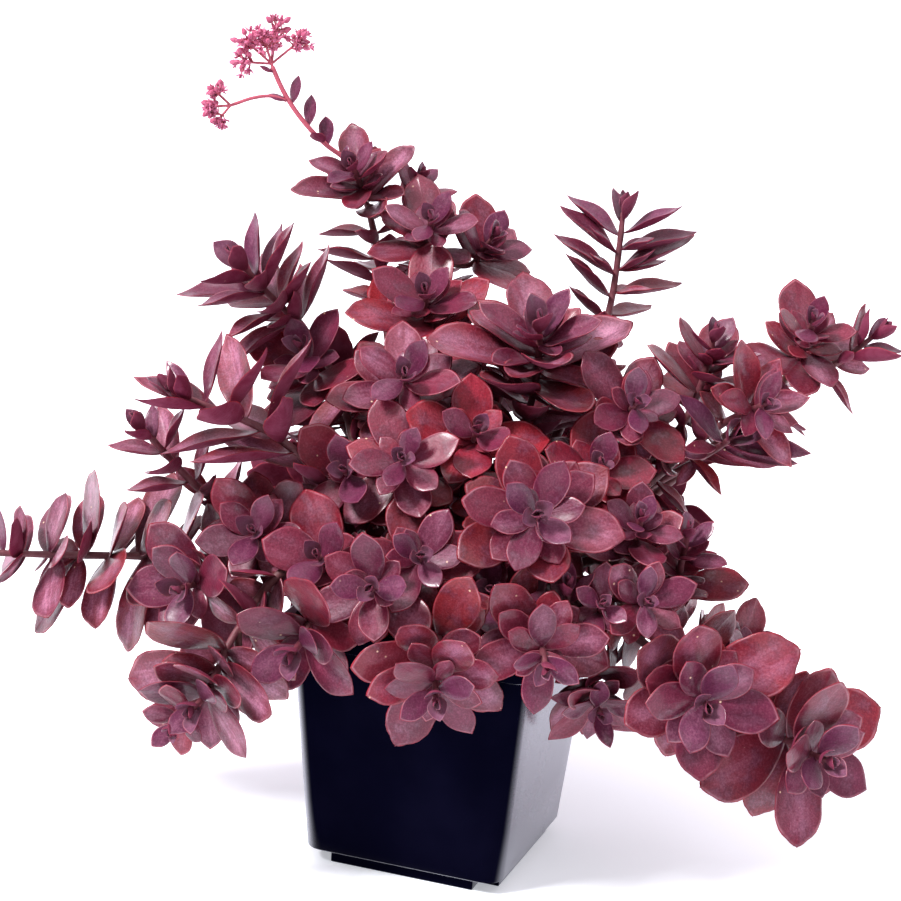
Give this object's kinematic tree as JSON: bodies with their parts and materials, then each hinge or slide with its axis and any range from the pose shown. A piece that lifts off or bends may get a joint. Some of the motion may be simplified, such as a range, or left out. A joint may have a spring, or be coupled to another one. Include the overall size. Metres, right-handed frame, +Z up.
{
  "type": "potted sedum",
  "caption": "Potted stonecrop: upright and trailing stems of paired fleshy purple-red leaves, with small pink flower heads, rooted in soil in a tapered square pot.",
  "frame": {"origin": "the middle of the pot's foot, on the surface that it stands on", "axes": "+Z up; X and Y along the square pot's sides, with -Y the side that faces the viewer"},
  "size_m": [0.3477, 0.2329, 0.3059],
  "materials": {
    "pot": "glossy black",
    "soil": "rough and crumbly",
    "plant": "waxy purple-red",
    "bloom": "matt pink"
  },
  "bodies": {
    "root": {"bloom_main": "bloom", "bloom_side": "bloom", "pot": "pot", "shoot_back_far_right": "plant", "shoot_back_high_left": "plant", "shoot_back_high_right": "plant", "shoot_back_left": "plant", "shoot_back_low_left": "plant", "shoot_back_low_right": "plant", "shoot_back_mid_left": "plant", "shoot_back_mid_right": "plant", "shoot_back_middle": "plant", "shoot_back_right": "plant", "shoot_back_top": "plant", "shoot_brow_left": "plant", "shoot_brow_right": "plant", "shoot_crown_left": "plant", "shoot_crown_right": "plant", "shoot_far_right": "plant", "shoot_front_left": "plant", "shoot_front_low": "plant", "shoot_front_low_right": "plant", "shoot_front_middle": "plant", "shoot_heart": "plant", "shoot_inner_right": "plant", "shoot_left_inner": "plant", "shoot_left_low": "plant", "shoot_left_rim": "plant", "shoot_left_shoulder": "plant", "shoot_low_dark": "plant", "shoot_mid_front": "plant", "shoot_mid_left": "plant", "shoot_mid_low_left": "plant", "shoot_mid_red": "plant", "shoot_mid_right": "plant", "shoot_reach_left": "plant", "shoot_reach_left_low": "plant", "shoot_right_behind": "plant", "shoot_right_blades": "plant", "shoot_right_low": "plant", "shoot_right_lowest": "plant", "shoot_right_small": "plant", "shoot_right_tuft": "plant", "shoot_rise_right": "plant", "shoot_shoulder_left": "plant", "shoot_shoulder_right": "plant", "shoot_spire_left": "plant", "shoot_spire_right": "plant", "shoot_tower_low": "plant", "shoot_tower_mid": "plant", "shoot_tower_top": "plant", "shoot_trail_left": "plant", "soil": "soil"}
  },
  "joints": []
}
